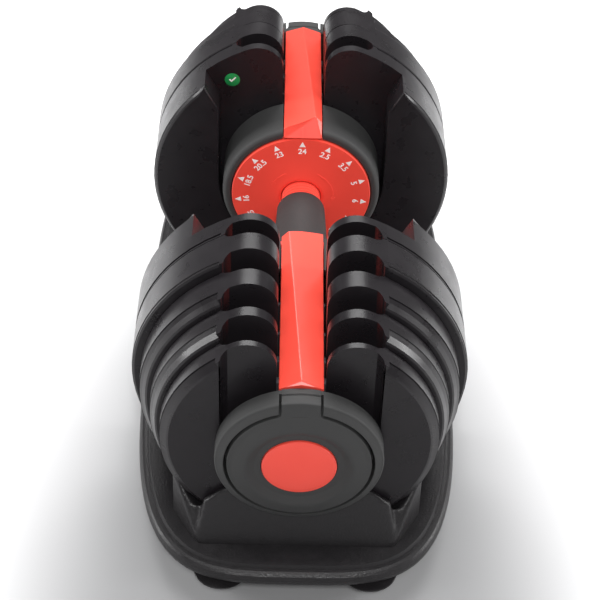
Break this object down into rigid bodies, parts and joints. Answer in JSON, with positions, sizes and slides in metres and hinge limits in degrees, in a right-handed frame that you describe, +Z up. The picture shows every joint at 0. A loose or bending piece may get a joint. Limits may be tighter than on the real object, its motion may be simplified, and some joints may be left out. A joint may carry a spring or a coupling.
{
  "type": "adjustable dumbbell",
  "caption": "Adjustable dumbbell in its storage tray: a dial at each end turns slotted discs that hook nested weight plates onto the handle.",
  "frame": {"origin": "on the floor under the middle of the tray", "axes": "+Z up; +Y along the handle towards the rear end; +X across, to the right when the front end is nearest"},
  "size_m": [0.212, 0.442, 0.211],
  "materials": {
    "coral_red_plastic": "satin moulded",
    "black_nylon": "satin moulded",
    "plate_plastic": "satin moulded",
    "tray_plastic": "fine pebbled texture",
    "disc_nylon": "moulded",
    "grip_rubber": "matt",
    "plated_steel": "zinc plated",
    "plate_steel": "oiled"
  },
  "bodies": {
    "tray": {"tray_shell": "tray_plastic", "tray_release_bridge": "black_nylon", "front_left_foot": "grip_rubber", "front_right_foot": "grip_rubber", "rear_left_foot": "grip_rubber", "rear_right_foot": "grip_rubber"},
    "dumbbell": {"handle_tube": "plated_steel", "rubber_grip": "grip_rubber", "front_grip_collar": "coral_red_plastic", "front_hub_housing": "black_nylon", "front_top_bar": "coral_red_plastic", "front_bar_carrier": "black_nylon", "front_bar_screw": "plated_steel", "front_lock_spring": "plated_steel", "front_plate_1": "plate_plastic", "front_plate_1_core": "plate_steel", "front_plate_2": "plate_plastic", "front_plate_2_core": "plate_steel", "front_plate_3": "plate_plastic", "front_plate_3_core": "plate_steel", "front_plate_4": "plate_plastic", "front_plate_4_core": "plate_steel", "front_plate_5": "plate_plastic", "front_plate_5_core": "plate_steel", "rear_grip_collar": "coral_red_plastic", "rear_hub_housing": "black_nylon", "rear_top_bar": "coral_red_plastic", "rear_bar_carrier": "black_nylon", "rear_bar_screw": "plated_steel", "rear_lock_spring": "plated_steel", "rear_plate_1": "plate_plastic", "rear_plate_1_core": "plate_steel", "rear_plate_2": "plate_plastic", "rear_plate_2_core": "plate_steel", "rear_plate_3": "plate_plastic", "rear_plate_3_core": "plate_steel", "rear_plate_4": "plate_plastic", "rear_plate_4_core": "plate_steel", "rear_plate_5": "plate_plastic", "rear_plate_5_core": "plate_steel"},
    "front_selector": {"front_number_dial": "coral_red_plastic", "front_selector_sleeve": "plated_steel", "front_knob_ring": "black_nylon", "front_knob_cover": "black_nylon", "front_knob_cap": "coral_red_plastic", "front_selector_disc_1": "disc_nylon", "front_selector_disc_2": "disc_nylon", "front_selector_disc_3": "disc_nylon", "front_selector_disc_4": "disc_nylon"},
    "rear_selector": {"rear_number_dial": "coral_red_plastic", "rear_selector_sleeve": "plated_steel", "rear_knob_ring": "black_nylon", "rear_knob_cover": "black_nylon", "rear_knob_cap": "coral_red_plastic", "rear_selector_disc_1": "disc_nylon", "rear_selector_disc_2": "disc_nylon", "rear_selector_disc_3": "disc_nylon", "rear_selector_disc_4": "disc_nylon"},
    "front_lock": {"front_lock_plate": "plated_steel"},
    "rear_lock": {"rear_lock_plate": "plated_steel"}
  },
  "joints": [
    {"name": "dumbbell_lift", "type": "slide", "parent": "tray", "child": "dumbbell", "axis": [0, 0, 1], "range_m": [0, 0.2]},
    {"name": "front_selector_turn", "type": "hinge", "parent": "dumbbell", "child": "front_selector", "pos_m": [0, 0, 0.113], "axis": [0, 1, 0], "continuous": true},
    {"name": "rear_selector_turn", "type": "hinge", "parent": "dumbbell", "child": "rear_selector", "pos_m": [0, 0, 0.113], "axis": [0, 1, 0], "continuous": true},
    {"name": "front_lock_slide", "type": "slide", "parent": "dumbbell", "child": "front_lock", "axis": [0, 0, 1], "range_m": [-0.0028, 0], "deforming": ["front_lock_spring"]},
    {"name": "rear_lock_slide", "type": "slide", "parent": "dumbbell", "child": "rear_lock", "axis": [0, 0, 1], "range_m": [-0.0028, 0], "deforming": ["rear_lock_spring"]}
  ],
  "couplings": [
    {"joint": "front_lock_slide", "follows": "dumbbell_lift", "ratio": -0.014},
    {"joint": "rear_lock_slide", "follows": "dumbbell_lift", "ratio": -0.014}
  ]
}
